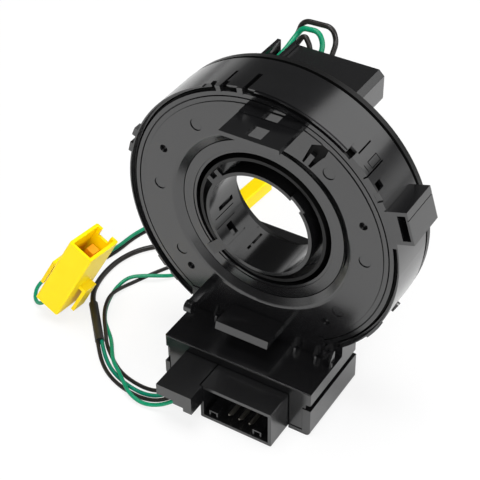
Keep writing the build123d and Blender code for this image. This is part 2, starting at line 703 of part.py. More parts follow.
def top_connector():
    """The wheel-side connector box above the bore, open at the back."""
    x1 = TOP_BOX_LEFT + TOP_BOX_W
    top = TOP_BOX_BOTTOM + TOP_BOX_H
    shell = box(TOP_BOX_LEFT, x1, DISC_BACK, TOWER_BACK, TOP_BOX_BOTTOM, top)
    edges = shell.edges().filter_by(Axis.Y)
    slanted = edges.group_by(Axis.Z)[-1].sort_by(Axis.X)[-1]
    shell = chamfer(slanted, TOP_BOX_CHAMFER)
    round_ones = shell.edges().filter_by(Axis.Y).group_by(Axis.Z)[0]
    shell = fillet(round_ones, BOX_EDGE_R)
    t = BOX_T
    x0 = TOP_BOX_LEFT + TOP_BOX_SOLID
    floor = DISC_BACK + BOX_FLOOR
    shell -= box(x0, x1 - t, floor, TOWER_BACK + 1, TOP_BOX_BOTTOM + t, top - t)
    return shell


def lower_connector():
    """The second connector box, below the bore."""
    x1 = LOW_BOX_LEFT + LOW_BOX_W
    bottom = LOW_BOX_TOP - LOW_BOX_H
    shell = box(LOW_BOX_LEFT, x1, DISC_BACK, LOW_BOX_BACK, bottom, LOW_BOX_TOP)
    shell = fillet(shell.edges().filter_by(Axis.Y), BOX_EDGE_R)
    t = BOX_T
    x0 = LOW_BOX_LEFT + t
    floor = DISC_BACK + BOX_FLOOR
    shell -= box(x0, x1 - t, floor, LOW_BOX_BACK + 1, bottom + t, LOW_BOX_TOP - t)
    return shell


def connector_pins(left, right, count, z):
    """A row of square pins that stand evenly in a wheel-side connector."""
    pins = []
    half = SQUARE_PIN / 2
    floor = DISC_BACK + BOX_FLOOR
    for i in range(count):
        x = left + (right - left) * (i + 1) / (count + 1)
        pins.append(box(x - half, x + half, floor, floor + PIN_STAND, z - half, z + half))
    return Compound(children=pins)


def top_connector_pins():
    """The pins of the connector above the bore."""
    right = TOP_BOX_LEFT + TOP_BOX_W - BOX_T
    return connector_pins(TOP_BOX_LEFT + TOP_BOX_SOLID, right, TOP_PINS, TOP_BOX_BOTTOM + TOP_BOX_H / 2)


def lower_connector_pins():
    """The pins of the connector below the bore."""
    right = LOW_BOX_LEFT + LOW_BOX_W - BOX_T
    return connector_pins(LOW_BOX_LEFT + BOX_T, right, LOW_PINS, LOW_BOX_TOP - LOW_BOX_H / 2)


def lead_channel():
    """The open channel that guides the leads along the left of the top connector."""
    left = CHANNEL_WALL_X
    right = TOP_BOX_LEFT - 0.1
    top = TOP_BOX_BOTTOM + TOP_BOX_H
    t = CHANNEL_WALL_T
    part = box(left, right, DISC_BACK, TOWER_BACK, CHANNEL_FLOOR_Z - t, CHANNEL_FLOOR_Z)
    part += box(left, left + t, DISC_BACK, TOWER_BACK, CHANNEL_FLOOR_Z - t, top)
    part += box(right - t, right, DISC_BACK, TOWER_BACK, CHANNEL_FLOOR_Z - t, top + 1.6)
    return part


def plug_housing(width, depth, length, deep):
    """A yellow plug standing on its rear face at the origin, with its mouth up."""
    shell = box(-width / 2, width / 2, -depth / 2, depth / 2, 0, length)
    shell = fillet(shell.edges().filter_by(Axis.Z), PLUG_EDGE_R)
    t = PLUG_T
    half_w = width / 2 - t
    half_d = depth / 2 - t
    shell -= box(-half_w, half_w, -half_d, half_d, length - deep, length + 1)
    return shell


def plug_levers(width):
    """The two latch levers that stand off the broad sides of the left plug."""
    levers = []
    for side in (-1, 1):
        x0 = side * width / 2
        x1 = side * (width / 2 + LEVER_STAND)
        top = LEVER_FROM + LEVER_L
        lever = box(x1 - side * LEVER_T, x1, -LEVER_W / 2, LEVER_W / 2, LEVER_FROM, top)
        lever += box(x0 - side * 0.5, x1, -LEVER_W / 2, LEVER_W / 2, top - LEVER_T, top)
        levers.append(lever)
    return levers


def left_plug():
    """The yellow plug on the left, with two levers and a keyway in its mouth."""
    shell = plug_housing(PLUG_W, PLUG_D, PLUG_L, PLUG_DEEP)
    shell -= box(-2.4, 2.4, PLUG_D / 2 - PLUG_T - 1, PLUG_D / 2 + 1, PLUG_L - 3.4, PLUG_L + 1)
    for lever in plug_levers(PLUG_W):
        shell += lever
    return shell


def plug_insert(width, depth, length, deep):
    """The inner carrier of a yellow plug, with its two contact towers."""
    base = length - deep
    t = PLUG_T + INSERT_GAP
    half_w = width / 2 - t
    half_d = depth / 2 - t
    carrier = box(-half_w, half_w, -half_d, half_d, base + 0.05, base + 2)
    for y in (-half_d / 2, half_d / 2):
        tower = half_d * 0.28
        top = base + deep * 0.62
        carrier += box(-half_w * 0.45, half_w * 0.45, y - tower, y + tower, base + 1.5, top)
    return carrier


def rear_cap():
    """The black cap in the rear plug's mouth, which stands out of it with rounded corners."""
    half_w = REAR_PLUG_W / 2 - PLUG_T - INSERT_GAP
    half_d = REAR_PLUG_D / 2 - PLUG_T - INSERT_GAP
    base = REAR_PLUG_L - REAR_PLUG_DEEP + SLIP_GAP
    cap = box(-half_w, half_w, -half_d, half_d, base, REAR_PLUG_L + CAP_STAND)
    return fillet(cap.edges().group_by(Axis.Z)[-1], CAP_EDGE_R)


# Routes of the leads, from end to end. They lie on the table, rise to a plug at their ends, and
# one green lead crosses over the others.
ON = floor_z + LEAD_D / 2
OVER = ON + LEAD_D + 0.05
HUMP = ON + LEAD_D + 3.0
THICK = floor_z + JACKET_D / 2
SHRINK_Z = floor_z + SHRINK_D / 2
REAR_ON = floor_z + REAR_PLUG_D / 2
SHRINK_START = (-73.2, -2.6, SHRINK_Z)
SHRINK_END = (-58.6, -18.4, SHRINK_Z)

JACKET_ROUTE = [
    SHRINK_START,
    (-75.3, -0.3, SHRINK_Z),
    (-78.8, 5.6, THICK + 0.2),
    (-80.9, 14.6, THICK),
    (-80.8, 24.5, THICK),
    (-77.6, 33.8, THICK),
    (-71.2, 41.2, THICK),
    (-66.8, 44.9, THICK),
    (-64.0, 47.0, THICK),
]
GREEN_TAIL_ROUTE = [
    (-64.5, 47.7, ON),
    (-62.3, 49.5, ON),
    (-61.2, 53.6, ON + 0.5),
    (-64.0, 58.4, ON + 1.2),
    (-69.4, 59.8, OVER),
    (-75.6, 56.8, OVER),
    (-81.0, 49.6, OVER),
    (-84.0, 40.0, OVER),
    (-84.8, 29.5, OVER),
    (-87.8, 20.0, OVER),
    (-94.6, 12.5, ON + 0.9),
    (-99.2, 4.5, ON),
    (-99.6, -4.0, ON),
    (-96.4, -10.0, ON),
    (-92.6, -13.2, -67.6),
    (-89.2, -13.6, -65.8),
    (-87.98, -13.08, -63.81),
    (-87.1, -12.68, -62.06),
]
BLACK_TAIL_ROUTE = [
    (-63.5, 46.4, ON),
    (-61.2, 48.3, ON),
    (-58.7, 52.4, ON),
    (-59.3, 58.8, ON),
    (-64.6, 63.2, ON),
    (-71.4, 62.0, ON),
    (-77.0, 56.6, ON),
    (-81.4, 48.6, ON),
    (-84.0, 39.2, ON),
    (-84.6, 29.4, ON),
    (-87.2, 19.6, ON),
    (-92.6, 11.0, ON),
    (-95.4, 3.0, ON),
    (-94.2, -3.6, ON),
    (-91.6, -7.0, -67.9),
    (-89.3, -7.8, -66.6),
    (-88.27, -7.21, -65.01),
    (-87.39, -6.8, -63.26),
]
BLACK_A_ROUTE = [
    (-12.2, -25.0, -58.4),
    (-12.2, -27.7, -58.4),
    (-14.0, -30.2, -60.6),
    (-17.6, -32.0, -64.0),
    (-22.8, -33.4, -67.0),
    (-29.0, -34.0, ON),
    (-35.6, -33.6, ON),
    (-42.2, -32.0, ON),
    (-48.0, -29.2, ON),
    (-53.0, -25.4, ON + 0.2),
    (-56.9, -21.5, SHRINK_Z),
    (-59.2, -19.0, SHRINK_Z),
]
GREEN_A_ROUTE = [
    (-14.6, -25.0, -58.4),
    (-14.6, -27.3, -58.4),
    (-16.4, -29.0, -61.0),
    (-19.4, -30.2, -64.2),
    (-23.8, -31.3, -67.0),
    (-29.2, -31.9, ON),
    (-35.2, -31.5, ON),
    (-41.4, -30.0, ON),
    (-47.0, -27.4, ON),
    (-51.8, -24.0, ON + 0.2),
    (-55.6, -20.5, SHRINK_Z),
    (-58.0, -17.9, SHRINK_Z),
]
BLACK_B_ROUTE = [
    (-17.0, -25.0, -58.8),
    (-17.0, -26.9, -58.8),
    (-18.8, -28.0, -61.4),
    (-21.8, -28.5, -64.8),
    (-25.6, -28.9, -67.4),
    (-30.4, -29.2, ON),
    (-36.0, -28.8, ON),
    (-41.8, -27.4, ON),
    (-47.2, -24.2, ON),
    (-51.7, -19.7, ON),
    (-55.5, -14.8, ON),
    (-60.0, -8.6, ON),
    (-64.4, -1.4, ON),
    (-67.2, 6.2, ON),
    (-67.1, 13.6, ON),
    (-65.0, 20.8, ON),
    (-62.0, 27.8, ON),
    (-58.0, 34.8, ON),
    (-56.0, 42.4, ON),
    (-55.4, 51.0, ON),
    (-57.2, 58.2, ON + 0.6),
    (-59.2, 63.4, ON + 1.9),
    (-59.21, 67.12, REAR_ON),
    (-59.0, 70.08, REAR_ON),
]
GREEN_B_ROUTE = [
    (-9.8, -25.0, -58.4),
    (-9.8, -27.8, -58.4),
    (-11.8, -30.9, -60.6),
    (-15.6, -33.4, -63.6),
    (-21.0, -35.4, -66.7),
    (-27.6, -36.5, ON + 0.6),
    (-33.4, -35.0, ON + 2.6),
    (-37.8, -31.2, HUMP),
    (-42.0, -26.6, HUMP),
    (-47.2, -22.0, HUMP),
    (-52.6, -18.2, ON + 3.2),
    (-57.6, -14.2, ON + 1.2),
    (-62.2, -8.6, ON),
    (-66.6, -1.6, ON),
    (-69.8, 6.0, ON),
    (-70.2, 13.0, ON + 1.6),
    (-67.0, 18.6, HUMP),
    (-62.4, 21.8, HUMP),
    (-57.8, 25.2, ON + 1.6),
    (-54.4, 31.0, ON),
    (-52.9, 39.0, ON),
    (-53.0, 49.0, ON),
    (-54.8, 57.6, ON + 0.6),
    (-56.3, 63.2, ON + 1.9),
    (-56.01, 66.9, REAR_ON),
    (-55.8, 69.86, REAR_ON),
]


def lead(points, diameter, name):
    """A round lead along straight runs that are joined by tangent arcs."""
    corners = [Vector(*p) for p in points]
    runs = [corners[i + 1] - corners[i] for i in range(len(corners) - 1)]
    radii = []
    for before, after in zip(runs, runs[1:]):
        half_turn = math.radians(before.get_angle(after)) / 2
        radii.append(0.45 * min(before.length, after.length) / math.tan(half_turn))
    path = FilletPolyline(*points, radius=radii)
    section = Plane(origin=points[0], z_dir=runs[0]) * Circle(diameter / 2)
    tube = sweep(section, path=path)
    ratio = tube.volume / (math.pi * diameter ** 2 / 4 * path.length)
    print(name, "length", round(path.length, 1), "volume ratio", round(ratio, 4))
    print("radii", [round(r, 1) for r in radii])
    return tube


def shrink_sleeve():
    """The shrink sleeve that joins the thick lead to its two thin ones."""
    start = Vector(*SHRINK_START)
    run = Vector(*SHRINK_END) - start
    return extrude(Plane(origin=start, z_dir=run) * Circle(SHRINK_D / 2), run.length)


# Short leads of the rotor: along the channel, over its end and into the connector's back
LOOP_START = ((-13.2, 38.7), (-14.5, 40.9), (-15.9, 38.7))
LOOP_END_X = (-7.0, -3.4, 0.4)
LOOP_END_Z = 38.4
LOOP_OUT = (3.2, 5.8, 8.4)
LOOP_TOP = (45.6, 47.4, 48.8)


def rotor_lead(index, name):
    """One of the three short leads, from the disc to the back of the top connector."""
    x, z = LOOP_START[index]
    end_x = LOOP_END_X[index]
    out = TOWER_BACK + LOOP_OUT[index]
    top = LOOP_TOP[index]
    points = [
        (x, DISC_BACK + 0.02, z),
        (x + 0.2, DISC_BACK + 6, z),
        (x - 0.2, DISC_BACK + 13, z + 0.1),
        (x, TOWER_BACK - 2, z + 0.6),
        (x + 0.6, out - 0.4, z + 3.4),
        (x + 2.4, out + 0.4, top - 0.4),
        (end_x - 2.4, out + 0.4, top),
        (end_x - 0.3, out - 0.2, (top + LOOP_END_Z) / 2 + 0.5),
        (end_x, TOWER_BACK + 2.2, LOOP_END_Z),
        (end_x, TOWER_BACK + 0.02, LOOP_END_Z),
    ]
    return lead(points, LOOP_D, name)


def place_parts():
    """Write every sub-part."""
    write(stator_housing(), "stator_housing")
    write(outer_cover(), "outer_cover")
    write(block_cover(), "block_cover")
    write(main_socket(), "main_socket")
    write(socket_pins(), "socket_pins")
    write(side_plug(), "side_plug")
    write(terminal_block(), "terminal_block")
    write(flat_cable(), "flat_cable")
    write(front_slip_sheet(), "front_slip_sheet")
    write(rear_slip_sheet(), "rear_slip_sheet")
    write(rotor_disc(), "rotor_disc")
    write(hub_sleeve(), "hub_sleeve")
    write(top_connector(), "top_connector")
    write(top_connector_pins(), "top_connector_pins")
    write(lower_connector(), "lower_connector")
    write(lower_connector_pins(), "lower_connector_pins")
    write(lead_channel(), "lead_channel")
    for index, node in enumerate(("rotor_lead_black", "rotor_lead_green", "rotor_lead_long")):
        write(rotor_lead(index, node), node)
    write(LEFT_PLUG_AT * left_plug(), "left_plug")
    write(LEFT_PLUG_AT * plug_insert(PLUG_W, PLUG_D, PLUG_L, PLUG_DEEP), "left_plug_insert")
    rear = (REAR_PLUG_W, REAR_PLUG_D, REAR_PLUG_L, REAR_PLUG_DEEP)
    write(REAR_PLUG_AT * plug_housing(*rear), "rear_plug")
    write(REAR_PLUG_AT * rear_cap(), "rear_plug_insert")
    write(shrink_sleeve(), "shrink_sleeve")
    write(lead(JACKET_ROUTE, JACKET_D, "jacket_lead"), "jacket_lead")
    write(lead(GREEN_TAIL_ROUTE, LEAD_D, "green_tail"), "green_tail")
    write(lead(BLACK_TAIL_ROUTE, LEAD_D, "black_tail"), "black_tail")
    write(lead(GREEN_A_ROUTE, LEAD_D, "green_lead_a"), "green_lead_a")
    write(lead(BLACK_A_ROUTE, LEAD_D, "black_lead_a"), "black_lead_a")
    write(lead(GREEN_B_ROUTE, LEAD_D, "green_lead_b"), "green_lead_b")
    write(lead(BLACK_B_ROUTE, LEAD_D, "black_lead_b"), "black_lead_b")


place_parts()
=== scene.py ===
import math
import bpy
from mathutils import Matrix, Vector


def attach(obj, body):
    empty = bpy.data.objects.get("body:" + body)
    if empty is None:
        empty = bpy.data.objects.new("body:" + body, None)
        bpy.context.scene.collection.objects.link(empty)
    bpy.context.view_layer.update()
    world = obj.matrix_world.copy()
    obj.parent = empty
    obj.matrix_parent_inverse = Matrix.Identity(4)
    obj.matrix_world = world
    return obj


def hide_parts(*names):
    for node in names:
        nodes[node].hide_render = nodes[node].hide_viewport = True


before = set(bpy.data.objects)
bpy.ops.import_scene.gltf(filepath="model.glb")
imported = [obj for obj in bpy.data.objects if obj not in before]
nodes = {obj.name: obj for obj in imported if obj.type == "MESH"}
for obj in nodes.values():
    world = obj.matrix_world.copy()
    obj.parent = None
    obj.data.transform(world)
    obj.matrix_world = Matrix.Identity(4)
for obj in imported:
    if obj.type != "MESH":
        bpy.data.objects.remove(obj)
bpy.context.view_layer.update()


# Ring housing: stator face with its connector block, outer cover, tray and lead channel. Injection
# moulded in black ABS, with a fine spark-eroded grain that breaks up the gloss. Its narrow grooves
# get a painted shade: their shine is turned down where their own walls close round them.
def linear(code):
    """An sRGB hex colour as linear RGBA."""
    parts = [int(code[i:i + 2], 16) / 255 for i in (1, 3, 5)]
    return tuple(c / 12.92 if c <= 0.04045 else ((c + 0.055) / 1.055) ** 2.4 for c in parts) + (1,)


def put(tree, kind, inputs=(), **settings):
    """Adds one node, with its settings and with values or links on its inputs."""
    node = tree.nodes.new(kind)
    for name, value in settings.items():
        setattr(node, name, value)
    for socket, value in dict(inputs).items():
        if isinstance(value, bpy.types.NodeSocket):
            tree.links.new(value, node.inputs[socket])
        else:
            node.inputs[socket].default_value = value
    return node


def empty_finish(name):
    """A new material with no nodes in it."""
    finish = bpy.data.materials.new(name)
    finish.use_nodes = True
    finish.node_tree.nodes.clear()
    return finish, finish.node_tree


def dress(names, finish):
    """Gives CAD pieces a finish."""
    for name in names:
        for place in nodes[name].material_slots:
            place.material = finish


# The real grain is finer, and is drawn this coarse so that it shows.
GRAIN_MM = 0.4
FLOW_MM = 9
GROOVE_MM = 1.4
black_abs, tree = empty_finish("moulded_black_abs")
where = put(tree, "ShaderNodeTexCoord")
grain = put(tree, "ShaderNodeTexNoise",
            {"Vector": where.outputs["Object"], "Scale": 1000 / GRAIN_MM, "Detail": 2})
flow = put(tree, "ShaderNodeTexNoise",
           {"Vector": where.outputs["Object"], "Scale": 1000 / FLOW_MM, "Detail": 3})
tone = put(tree, "ShaderNodeMix",
           {"Factor": flow.outputs["Fac"], "A": linear("#0e0e0f"), "B": linear("#141415")}, data_type="RGBA")
gloss = put(tree, "ShaderNodeMapRange", {"Value": flow.outputs["Fac"], "To Min": 0.14, "To Max": 0.21})
relief = put(tree, "ShaderNodeBump",
             {"Height": grain.outputs["Fac"], "Strength": 0.12, "Distance": 0.00002})
# Painted shade: the shine is turned down in narrow grooves and corners, where the walls close round.
painted_groove_shade = put(tree, "ShaderNodeAmbientOcclusion", {"Distance": GROOVE_MM / 1000}, samples=8)
shine_under_painted_shade = put(tree, "ShaderNodeMapRange", {"Value": painted_groove_shade.outputs["AO"], "From Min": 0.35, "From Max": 0.85,
                                         "To Min": 0.05, "To Max": 0.9})
body = put(tree, "ShaderNodeBsdfPrincipled", {"Base Color": tone.outputs["Result"],
                                              "Roughness": gloss.outputs["Result"],
                                              "Normal": relief.outputs["Normal"], "IOR": 1.53,
                                              "Specular IOR Level": shine_under_painted_shade.outputs["Result"]})
put(tree, "ShaderNodeOutputMaterial", {"Surface": body.outputs["BSDF"]})
dress(("stator_housing", "outer_cover", "block_cover", "lead_channel"), black_abs)

# Small moulded edges of the housing, in its own black ABS: the sloped nose of the shelf below the
# bore and the sloped feet of the four gusset ribs, which catch the light, and the hook low on the
# right of the wall. Lengths here are in millimetres, and the hook's turn is in degrees.
SHELF_FRONT, SHELF_FOOT, SHELF_TOP = -10.8, -43.1, -40.4
SHELF_LEFT, SHELF_WIDE, NOSE_OUT = -10.9, 21.3, 1.0
RIB_FRONT, RIB_FOOT, RIB_TOP = -2.4, -49.4, -47.1
RIB_PLACES, RIB_THICK, FOOT_OUT = (-16.4, 16.4, 24.7, 30.9), 0.8, 0.9
LIP = 0.05
HOOK_ROOT, HOOK_OUT, HOOK_TURN = 52.3, 1.4, -28.0
HOOK_FRONT, HOOK_BACK, HOOK_LONG = 14.0, 15.6, 4.5
HOOK_CHAMFER, HOOK_SLANT = 0.4, 0.9


def sloped(front, foot, top, out):
    """Outline of an edge that stands out at its foot and ends in a thin lip at its top."""
    return [(front, foot), (front - out, foot), (front - LIP, top), (front, top)]


def moulded_edge(name, outline, start, reach, turn=0.0):
    """A clockwise outline in Y and Z, in millimetres, drawn out along X and turned on the bore's axis."""
    count = len(outline)
    points = [(x, y, z) for x in (start, start + reach) for y, z in outline]
    sides = [(i, count + i, count + (i + 1) % count, (i + 1) % count) for i in range(count)]
    ends = [tuple(range(count)), tuple(range(2 * count - 1, count - 1, -1))]
    spin = Matrix.Rotation(math.radians(-turn), 3, "Y")
    shape = bpy.data.meshes.new(name)
    shape.from_pydata([spin @ Vector(p) * 0.001 for p in points], [], sides + ends)
    shape.materials.append(black_abs)
    edge = bpy.data.objects.new(name, shape)
    bpy.context.scene.collection.objects.link(edge)
    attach(edge, "stator")


moulded_edge("shelf_nose", sloped(SHELF_FRONT, SHELF_FOOT, SHELF_TOP, NOSE_OUT), SHELF_LEFT, SHELF_WIDE)
for number, x in enumerate(RIB_PLACES):
    moulded_edge(f"rib_foot_{number + 1}", sloped(RIB_FRONT, RIB_FOOT, RIB_TOP, FOOT_OUT),
                 x - RIB_THICK / 2, RIB_THICK)
moulded_edge("wall_hook", [
    (HOOK_FRONT, -HOOK_LONG), (HOOK_FRONT, -HOOK_CHAMFER), (HOOK_FRONT + HOOK_CHAMFER, 0.0),
    (HOOK_BACK - HOOK_CHAMFER, 0.0), (HOOK_BACK, -HOOK_CHAMFER), (HOOK_BACK, HOOK_SLANT - HOOK_LONG),
], HOOK_ROOT, HOOK_OUT, HOOK_TURN)

# Rotor disc with its hub: moulded in the same black ABS, in a tool with a duller skin. It is the back
# of the ring, and turns with the steering wheel.
dull_abs, tree = empty_finish("moulded_dull_black_abs")
where = put(tree, "ShaderNodeTexCoord")
flow = put(tree, "ShaderNodeTexNoise",
           {"Vector": where.outputs["Object"], "Scale": 1000 / FLOW_MM, "Detail": 3})
tone = put(tree, "ShaderNodeMix",
           {"Factor": flow.outputs["Fac"], "A": linear("#0b0b0b"), "B": linear("#101010")}, data_type="RGBA")
body = put(tree, "ShaderNodeBsdfPrincipled", {"Base Color": tone.outputs["Result"], "Roughness": 0.36,
                                              "IOR": 1.5, "Specular IOR Level": 0.3})
put(tree, "ShaderNodeOutputMaterial", {"Surface": body.outputs["BSDF"]})
dress(("rotor_disc",), dull_abs)

# Hub sleeve that lines the bore and snaps the rotor in. Moulded in acetal, which is smooth and
# slippery, so it shines more than the ABS round it.
WAVE_MM = 6
black_acetal, tree = empty_finish("moulded_black_acetal")
where = put(tree, "ShaderNodeTexCoord")
flow = put(tree, "ShaderNodeTexNoise",
           {"Vector": where.outputs["Object"], "Scale": 1000 / WAVE_MM, "Detail": 2})
gloss = put(tree, "ShaderNodeMapRange", {"Value": flow.outputs["Fac"], "To Min": 0.12, "To Max": 0.2})
body = put(tree, "ShaderNodeBsdfPrincipled", {"Base Color": linear("#0d0d0e"),
                                              "Roughness": gloss.outputs["Result"],
                                              "IOR": 1.48, "Specular IOR Level": 0.8})
put(tree, "ShaderNodeOutputMaterial", {"Surface": body.outputs["BSDF"]})
dress(("hub_sleeve",), black_acetal)

# Connectors, the terminal block and the rear plug's cap: moulded in glass-filled PBT. The short glass
# fibres near the surface give it a satin, faintly mottled skin.
# The real mottle is finer, and is drawn this coarse so that it shows.
FIBRE_MM = 0.6
black_pbt, tree = empty_finish("moulded_black_pbt")
where = put(tree, "ShaderNodeTexCoord")
grain = put(tree, "ShaderNodeTexNoise",
            {"Vector": where.outputs["Object"], "Scale": 1000 / FIBRE_MM, "Detail": 3})
tone = put(tree, "ShaderNodeMix",
           {"Factor": grain.outputs["Fac"], "A": linear("#0b0b0c"), "B": linear("#121213")}, data_type="RGBA")
relief = put(tree, "ShaderNodeBump",
             {"Height": grain.outputs["Fac"], "Strength": 0.2, "Distance": 0.00003})
# Painted shade: the shine is turned down in narrow grooves and corners, where the walls close round.
painted_groove_shade = put(tree, "ShaderNodeAmbientOcclusion", {"Distance": GROOVE_MM / 1000}, samples=8)
shine_under_painted_shade = put(tree, "ShaderNodeMapRange", {"Value": painted_groove_shade.outputs["AO"], "From Min": 0.35, "From Max": 0.85,
                                         "To Min": 0.05, "To Max": 0.85})
body = put(tree, "ShaderNodeBsdfPrincipled", {"Base Color": tone.outputs["Result"], "Roughness": 0.25,
                                              "Normal": relief.outputs["Normal"], "IOR": 1.55,
                                              "Specular IOR Level": shine_under_painted_shade.outputs["Result"]})
put(tree, "ShaderNodeOutputMaterial", {"Surface": body.outputs["BSDF"]})
dress(("main_socket", "side_plug", "terminal_block", "top_connector", "lower_connector", "rear_plug_insert"),
      black_pbt)

# Contact blades: brass strip, stamped and then tin plated, which dulls to grey. Each is pressed into
# its connector from behind.
RUB_MM = 0.8
tinned_brass, tree = empty_finish("tin_plated_brass")
where = put(tree, "ShaderNodeTexCoord")
rub = put(tree, "ShaderNodeTexNoise",
          {"Vector": where.outputs["Object"], "Scale": 1000 / RUB_MM, "Detail": 2})
gloss = put(tree, "ShaderNodeMapRange", {"Value": rub.outputs["Fac"], "To Min": 0.4, "To Max": 0.6})
body = put(tree, "ShaderNodeBsdfPrincipled", {"Base Color": linear("#85827a"), "Metallic": 1.0,
                                              "Roughness": gloss.outputs["Result"]})
put(tree, "ShaderNodeOutputMaterial", {"Surface": body.outputs["BSDF"]})
dress(("socket_pins", "top_connector_pins", "lower_connector_pins"), tinned_brass)

# Flat cable, wound loosely round the hub: copper strips laminated between two dark polyester films.
# The strips show through as faint bands along it.
STRIP_MM = 2.4
film, tree = empty_finish("laminated_black_film")
where = put(tree, "ShaderNodeTexCoord")
across = put(tree, "ShaderNodeSeparateXYZ", {"Vector": where.outputs["Object"]})
turns = put(tree, "ShaderNodeMath", {0: across.outputs["Y"], 1: 2 * math.pi * 1000 / STRIP_MM},
            operation="MULTIPLY")
wave = put(tree, "ShaderNodeMath", {0: turns.outputs["Value"]}, operation="SINE")
copper = put(tree, "ShaderNodeMath", {0: wave.outputs["Value"], 1: -0.2}, operation="GREATER_THAN")
tone = put(tree, "ShaderNodeMix",
           {"Factor": copper.outputs["Value"], "A": linear("#0b0b0b"), "B": linear("#15120f")},
           data_type="RGBA")
body = put(tree, "ShaderNodeBsdfPrincipled", {"Base Color": tone.outputs["Result"], "Roughness": 0.4,
                                              "Specular IOR Level": 0.3})
put(tree, "ShaderNodeOutputMaterial", {"Surface": body.outputs["BSDF"]})
dress(("flat_cable",), film)

# Slip films on both sides of the flat cable: punched from thin smoked polyester, and laid in loose,
# so that the cable's edges don't rub on the housing.
CLOUD_MM = 12
slip, tree = empty_finish("smoked_slip_film")
where = put(tree, "ShaderNodeTexCoord")
cloud = put(tree, "ShaderNodeTexNoise",
            {"Vector": where.outputs["Object"], "Scale": 1000 / CLOUD_MM, "Detail": 2})
tone = put(tree, "ShaderNodeMix",
           {"Factor": cloud.outputs["Fac"], "A": linear("#080808"), "B": linear("#0e0e0e")}, data_type="RGBA")
body = put(tree, "ShaderNodeBsdfPrincipled", {"Base Color": tone.outputs["Result"], "Roughness": 0.55,
                                              "Specular IOR Level": 0.15})
put(tree, "ShaderNodeOutputMaterial", {"Surface": body.outputs["BSDF"]})
dress(("front_slip_sheet", "rear_slip_sheet"), slip)

# Yellow plugs of the airbag circuit: moulded smooth in PBT, in the usual warning colour, with a soft
# shine.
YELLOW_FLOW_MM = 5
yellow_pbt, tree = empty_finish("moulded_yellow_pbt")
where = put(tree, "ShaderNodeTexCoord")
flow = put(tree, "ShaderNodeTexNoise",
           {"Vector": where.outputs["Object"], "Scale": 1000 / YELLOW_FLOW_MM, "Detail": 2})
tone = put(tree, "ShaderNodeMix",
           {"Factor": flow.outputs["Fac"], "A": linear("#ffdc00"), "B": linear("#ffe408")}, data_type="RGBA")
body = put(tree, "ShaderNodeBsdfPrincipled", {"Base Color": tone.outputs["Result"], "Roughness": 0.35,
                                              "Specular IOR Level": 0.25})
put(tree, "ShaderNodeOutputMaterial", {"Surface": body.outputs["BSDF"]})
dress(("left_plug", "rear_plug"), yellow_pbt)

# Terminal carrier inside the left plug: moulded in an orange PBT, which looks darker deep in the
# mouth.
ORANGE_FLOW_MM = 4
orange_pbt, tree = empty_finish("moulded_orange_pbt")
where = put(tree, "ShaderNodeTexCoord")
flow = put(tree, "ShaderNodeTexNoise",
           {"Vector": where.outputs["Object"], "Scale": 1000 / ORANGE_FLOW_MM, "Detail": 2})
tone = put(tree, "ShaderNodeMix",
           {"Factor": flow.outputs["Fac"], "A": linear("#ffa800"), "B": linear("#ffb40c")}, data_type="RGBA")
body = put(tree, "ShaderNodeBsdfPrincipled", {"Base Color": tone.outputs["Result"], "Roughness": 0.45})
put(tree, "ShaderNodeOutputMaterial", {"Surface": body.outputs["BSDF"]})
dress(("left_plug_insert",), orange_pbt)

# Skins of the leads: PVC, black or green, extruded over stranded copper, so it is smooth and satin.
# The three short leads on the rotor go round the end of the lead channel.
SKIN_MM = 3


def pvc(name, dark, light):
    """Extruded PVC in two close tones of one colour."""
    finish, tree = empty_finish(name)
    where = put(tree, "ShaderNodeTexCoord")
    flow = put(tree, "ShaderNodeTexNoise",
               {"Vector": where.outputs["Object"], "Scale": 1000 / SKIN_MM, "Detail": 2})
    tone = put(tree, "ShaderNodeMix", {"Factor": flow.outputs["Fac"], "A": linear(dark), "B": linear(light)},
               data_type="RGBA")
    gloss = put(tree, "ShaderNodeMapRange", {"Value": flow.outputs["Fac"], "To Min": 0.3, "To Max": 0.42})
    body = put(tree, "ShaderNodeBsdfPrincipled", {"Base Color": tone.outputs["Result"],
                                                  "Roughness": gloss.outputs["Result"], "IOR": 1.52,
                                                  "Specular IOR Level": 0.35})
    put(tree, "ShaderNodeOutputMaterial", {"Surface": body.outputs["BSDF"]})
    return finish


black_pvc = pvc("extruded_black_pvc", "#191716", "#221f1d")
green_pvc = pvc("extruded_green_pvc", "#008058", "#00926a")
# A darker copy of the same green PVC: painted shade, for the green lead that lies in the shade of the others.
green_pvc_painted_shade = pvc("extruded_green_pvc_painted_shade", "#00765a", "#058568")
dress(("rotor_lead_black", "rotor_lead_long"), black_pvc)
dress(("rotor_lead_green",), green_pvc)

# Shrink tube where the thick lead meets two thin ones: matt polyolefin, shrunk on with hot air, which
# leaves it a little uneven.
UNEVEN_MM = 0.9
shrink, tree = empty_finish("shrunk_polyolefin_tube")
where = put(tree, "ShaderNodeTexCoord")
grain = put(tree, "ShaderNodeTexNoise",
            {"Vector": where.outputs["Object"], "Scale": 1000 / UNEVEN_MM, "Detail": 3})
relief = put(tree, "ShaderNodeBump", {"Height": grain.outputs["Fac"], "Strength": 0.4, "Distance": 0.0001})
body = put(tree, "ShaderNodeBsdfPrincipled", {"Base Color": linear("#1c1b1b"), "Roughness": 0.5,
                                              "Normal": relief.outputs["Normal"]})
put(tree, "ShaderNodeOutputMaterial", {"Surface": body.outputs["BSDF"]})
dress(("shrink_sleeve",), shrink)

